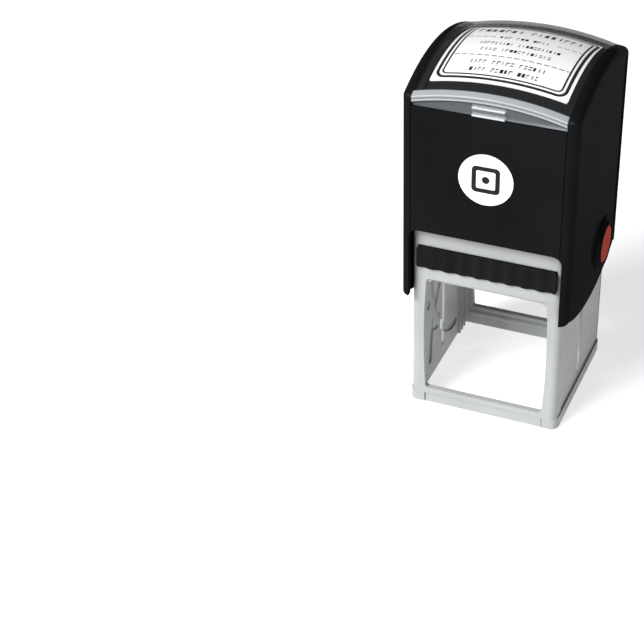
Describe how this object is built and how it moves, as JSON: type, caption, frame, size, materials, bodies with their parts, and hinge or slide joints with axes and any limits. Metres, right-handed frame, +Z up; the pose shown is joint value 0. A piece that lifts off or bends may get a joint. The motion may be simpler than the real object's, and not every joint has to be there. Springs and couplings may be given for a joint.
{
  "type": "self inking stamp",
  "caption": "Self inking stamp: pressing the sprung black housing down the open frame flips the die carrier from the ink pad to the paper.",
  "frame": {"origin": "centre of the footprint on the plane the stamp stands on", "axes": "+Z up, along the press stroke; +X across the front, to the viewer's right; the front with the cartridge's grip strip faces -Y"},
  "size_m": [0.059, 0.0602, 0.127],
  "materials": {
    "frame": "satin",
    "pad_cartridge": "satin",
    "ink_pad": "damp felt",
    "housing": "gloss",
    "window_cover": "clear moulded plastic",
    "index_label": "printed card",
    "front_badge": "printed disc",
    "main_spring": "drawn wire",
    "die_carrier": "satin",
    "die_plate": "satin",
    "die_cushion": "foam",
    "rubber_die": "moulded rubber",
    "lock_button_left": "satin",
    "lock_button_right": "satin",
    "button_spring_left": "drawn wire",
    "button_spring_right": "drawn wire"
  },
  "bodies": {
    "frame": {"frame": "frame", "pad_cartridge": "pad_cartridge", "ink_pad": "ink_pad"},
    "housing": {"housing": "housing", "window_cover": "window_cover", "index_label": "index_label", "front_badge": "front_badge", "main_spring": "main_spring", "button_spring_left": "button_spring_left", "button_spring_right": "button_spring_right"},
    "carrier": {"die_carrier": "die_carrier", "die_plate": "die_plate", "die_cushion": "die_cushion", "rubber_die": "rubber_die"},
    "button_left": {"lock_button_left": "lock_button_left"},
    "button_right": {"lock_button_right": "lock_button_right"}
  },
  "joints": [
    {"name": "housing_press", "type": "slide", "parent": "frame", "child": "housing", "axis": [0, 0, -1], "range_m": [0, 0.038], "stiffness_N_per_m": 400, "springref_m": -0.02, "deforming": ["main_spring"]},
    {"name": "die_flip", "type": "hinge", "parent": "housing", "child": "carrier", "pos_m": [0, 0, 0.0455], "axis": [1, 0, 0], "range_deg": [0, 180]},
    {"name": "lock_button_left_press", "type": "slide", "parent": "housing", "child": "button_left", "axis": [1, 0, 0], "range_m": [0, 0.0009], "stiffness_N_per_m": 800, "springref_m": -0.001, "deforming": ["button_spring_left"]},
    {"name": "lock_button_right_press", "type": "slide", "parent": "housing", "child": "button_right", "axis": [-1, 0, 0], "range_m": [0, 0.0009], "stiffness_N_per_m": 800, "springref_m": -0.001, "deforming": ["button_spring_right"]}
  ],
  "couplings": [
    {"joint": "die_flip", "follows": "housing_press", "rad_per_m": 82.67}
  ]
}
